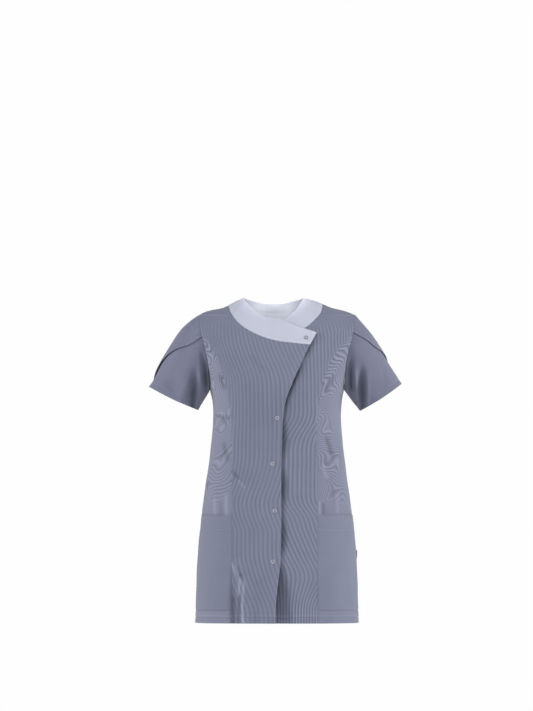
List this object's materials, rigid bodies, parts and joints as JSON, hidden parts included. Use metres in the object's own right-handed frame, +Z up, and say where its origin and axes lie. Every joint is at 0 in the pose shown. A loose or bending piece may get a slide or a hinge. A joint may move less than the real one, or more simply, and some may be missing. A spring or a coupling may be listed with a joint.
{
  "type": "work tunic",
  "caption": "Short-sleeved women's work tunic with a crossover snap front, white band collar and patch pockets.",
  "frame": {"origin": "between the shoulders at the level where they carry the tunic, midway between front and back", "axes": "+Z up, the front faces -Y, the wearer's left is +X"},
  "size_m": [0.6551, 0.3058, 0.8434],
  "materials": {
    "stripe_cloth": "matt poly-cotton with a fine pinstripe",
    "plain_cloth": "matt plain-woven poly-cotton",
    "collar_cloth": "smooth white poly-cotton, doubled and stitched",
    "snap_metal": "satin nickel",
    "tab_cloth": "dark woven tape"
  },
  "bodies": {
    "root": {"front_right": "stripe_cloth", "front_left": "stripe_cloth", "side_front_right": "stripe_cloth", "side_front_left": "stripe_cloth", "back": "stripe_cloth", "sleeve_over_right": "stripe_cloth", "sleeve_over_left": "stripe_cloth", "sleeve_under_right": "plain_cloth", "sleeve_under_left": "plain_cloth", "pocket_right": "plain_cloth", "pocket_left": "plain_cloth", "collar": "collar_cloth", "snap_collar": "snap_metal", "snap_1": "snap_metal", "snap_2": "snap_metal", "snap_3": "snap_metal", "snap_4": "snap_metal", "side_tab": "tab_cloth"}
  },
  "joints": []
}
